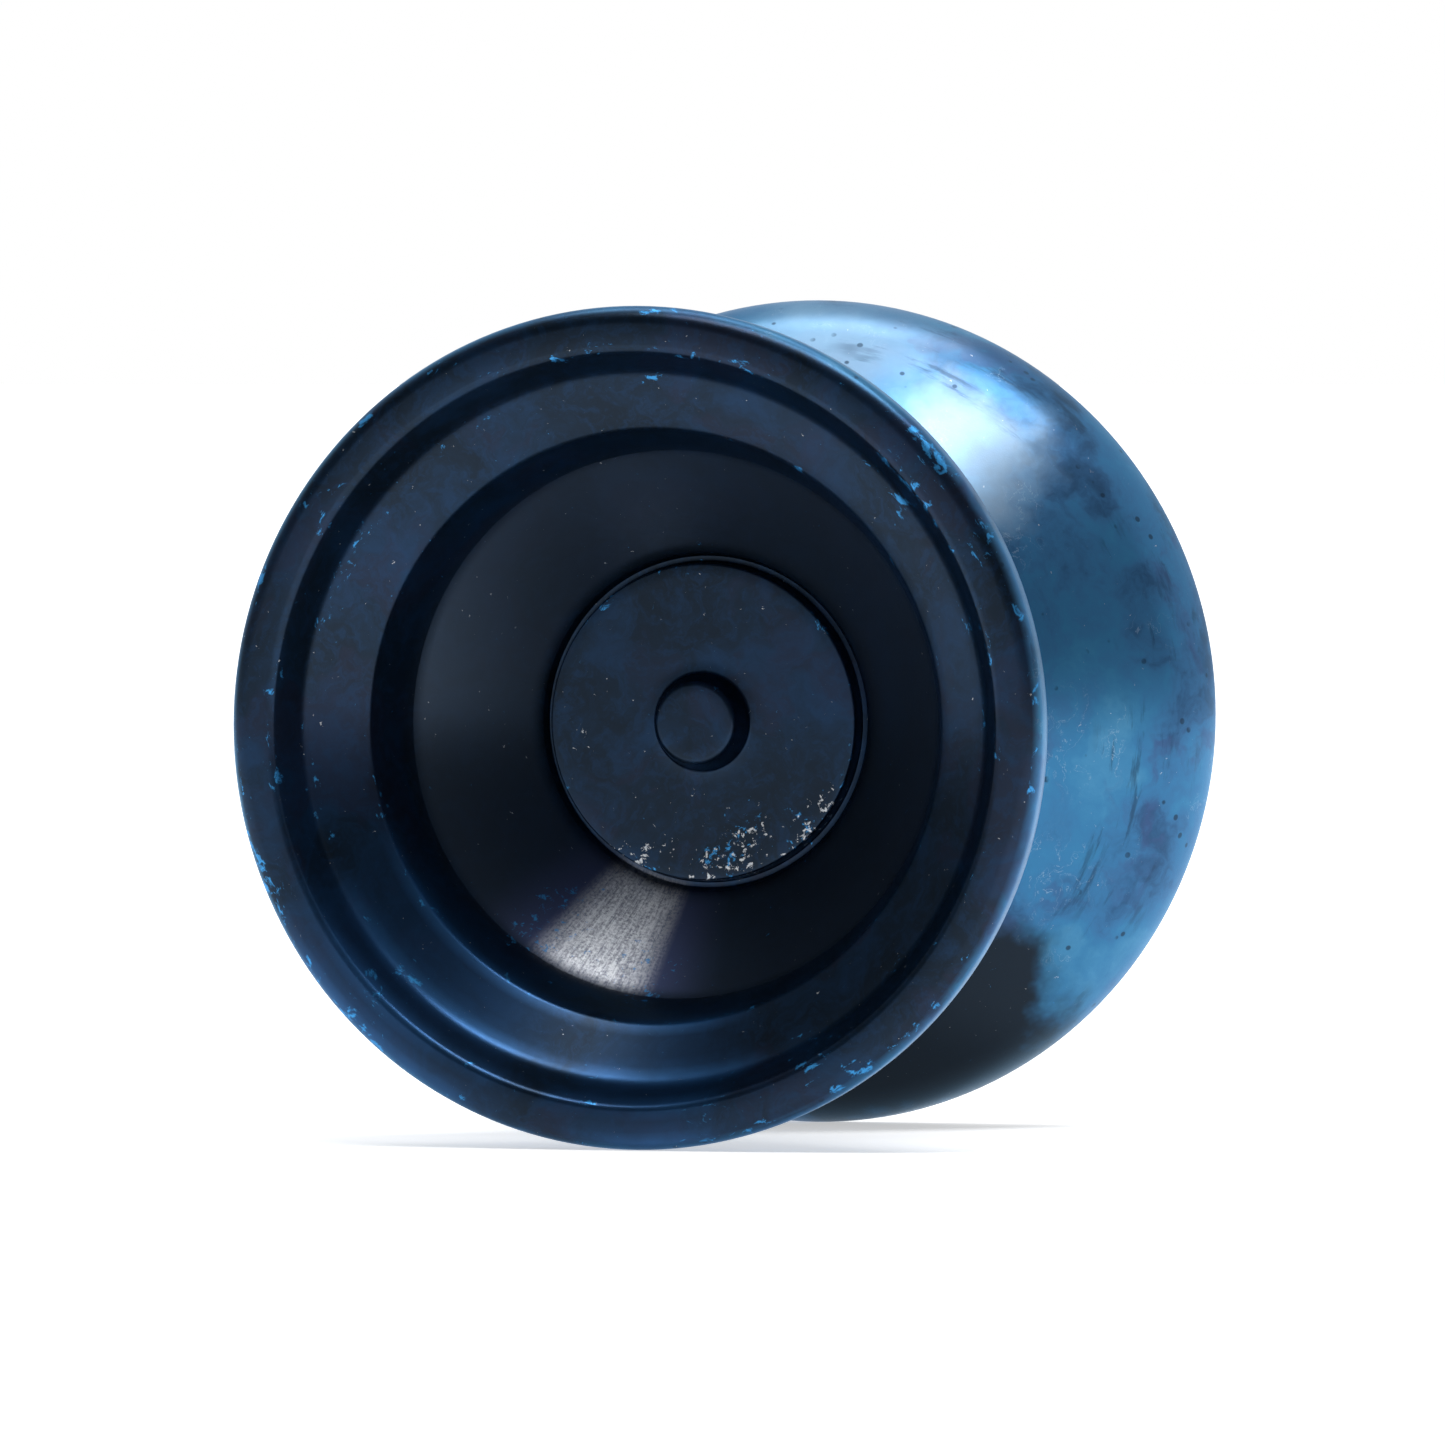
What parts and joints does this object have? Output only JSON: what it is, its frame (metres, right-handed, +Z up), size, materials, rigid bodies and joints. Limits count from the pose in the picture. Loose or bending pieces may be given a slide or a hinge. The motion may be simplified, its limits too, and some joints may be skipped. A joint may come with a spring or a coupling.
{
  "type": "yo-yo",
  "caption": "Wide metal yo-yo with rounded bell-shaped halves, deep stepped cups, a screw axle, a shielded ball bearing and recessed response pads.",
  "frame": {"origin": "centre of the yo-yo: on its axis of rotation, in the middle of the string gap", "axes": "+Y along the axis of rotation from the front half to the rear half, +Z up when it stands on both rims, +X to the right seen from the front"},
  "size_m": [0.056, 0.0456, 0.056],
  "materials": {
    "anodised_aluminium": "satin blasted, anodised in marbled navy, black and mid blue",
    "bearing_steel": "ground and polished bearing steel",
    "cage_brass": "pressed, plain",
    "black_steel": "black oxide",
    "silicone": "smooth, matt"
  },
  "bodies": {
    "spool": {"front_half": "anodised_aluminium", "axle": "black_steel", "bearing_inner_race": "bearing_steel", "front_response_pad": "silicone"},
    "bearing_outer": {"bearing_outer_race": "bearing_steel", "front_bearing_shield": "bearing_steel", "rear_bearing_shield": "bearing_steel", "front_bearing_snap_ring": "bearing_steel", "rear_bearing_snap_ring": "bearing_steel"},
    "cage": {"bearing_cage": "cage_brass"},
    "ball_01": {"bearing_ball_01": "bearing_steel"},
    "ball_02": {"bearing_ball_02": "bearing_steel"},
    "ball_03": {"bearing_ball_03": "bearing_steel"},
    "ball_04": {"bearing_ball_04": "bearing_steel"},
    "ball_05": {"bearing_ball_05": "bearing_steel"},
    "ball_06": {"bearing_ball_06": "bearing_steel"},
    "ball_07": {"bearing_ball_07": "bearing_steel"},
    "ball_08": {"bearing_ball_08": "bearing_steel"},
    "ball_09": {"bearing_ball_09": "bearing_steel"},
    "ball_10": {"bearing_ball_10": "bearing_steel"},
    "rear_travel": {"rear_response_pad": "silicone"},
    "rear_half": {"rear_half": "anodised_aluminium"}
  },
  "joints": [
    {"name": "bearing_spin", "type": "hinge", "parent": "spool", "child": "bearing_outer", "pos_m": [0, 0, 0], "axis": [0, 1, 0], "continuous": true},
    {"name": "cage_spin", "type": "hinge", "parent": "spool", "child": "cage", "pos_m": [0, 0, 0], "axis": [0, 1, 0], "continuous": true},
    {"name": "ball_01_roll", "type": "hinge", "parent": "cage", "child": "ball_01", "pos_m": [0.00147, 0, 0.00453], "axis": [0, 1, 0], "continuous": true},
    {"name": "ball_02_roll", "type": "hinge", "parent": "cage", "child": "ball_02", "pos_m": [0.00385, 0, 0.0028], "axis": [0, 1, 0], "continuous": true},
    {"name": "ball_03_roll", "type": "hinge", "parent": "cage", "child": "ball_03", "pos_m": [0.00476, 0, 0], "axis": [0, 1, 0], "continuous": true},
    {"name": "ball_04_roll", "type": "hinge", "parent": "cage", "child": "ball_04", "pos_m": [0.00385, 0, -0.0028], "axis": [0, 1, 0], "continuous": true},
    {"name": "ball_05_roll", "type": "hinge", "parent": "cage", "child": "ball_05", "pos_m": [0.00147, 0, -0.00453], "axis": [0, 1, 0], "continuous": true},
    {"name": "ball_06_roll", "type": "hinge", "parent": "cage", "child": "ball_06", "pos_m": [-0.00147, 0, -0.00453], "axis": [0, 1, 0], "continuous": true},
    {"name": "ball_07_roll", "type": "hinge", "parent": "cage", "child": "ball_07", "pos_m": [-0.00385, 0, -0.0028], "axis": [0, 1, 0], "continuous": true},
    {"name": "ball_08_roll", "type": "hinge", "parent": "cage", "child": "ball_08", "pos_m": [-0.00476, 0, 0], "axis": [0, 1, 0], "continuous": true},
    {"name": "ball_09_roll", "type": "hinge", "parent": "cage", "child": "ball_09", "pos_m": [-0.00385, 0, 0.0028], "axis": [0, 1, 0], "continuous": true},
    {"name": "ball_10_roll", "type": "hinge", "parent": "cage", "child": "ball_10", "pos_m": [-0.00147, 0, 0.00453], "axis": [0, 1, 0], "continuous": true},
    {"name": "rear_travel", "type": "slide", "parent": "spool", "child": "rear_travel", "axis": [0, 1, 0], "range_m": [0, 0.00491]},
    {"name": "unscrew", "type": "hinge", "parent": "rear_travel", "child": "rear_half", "pos_m": [0, 0, 0], "axis": [0, 1, 0], "range_deg": [0, 2520]}
  ],
  "couplings": [
    {"joint": "cage_spin", "follows": "bearing_spin", "ratio": 0.58333},
    {"joint": "ball_01_roll", "follows": "bearing_spin", "ratio": 2.9167},
    {"joint": "ball_02_roll", "follows": "bearing_spin", "ratio": 2.9167},
    {"joint": "ball_03_roll", "follows": "bearing_spin", "ratio": 2.9167},
    {"joint": "ball_04_roll", "follows": "bearing_spin", "ratio": 2.9167},
    {"joint": "ball_05_roll", "follows": "bearing_spin", "ratio": 2.9167},
    {"joint": "ball_06_roll", "follows": "bearing_spin", "ratio": 2.9167},
    {"joint": "ball_07_roll", "follows": "bearing_spin", "ratio": 2.9167},
    {"joint": "ball_08_roll", "follows": "bearing_spin", "ratio": 2.9167},
    {"joint": "ball_09_roll", "follows": "bearing_spin", "ratio": 2.9167},
    {"joint": "ball_10_roll", "follows": "bearing_spin", "ratio": 2.9167},
    {"joint": "rear_travel", "follows": "unscrew", "m_per_rad": 0.00011141}
  ]
}
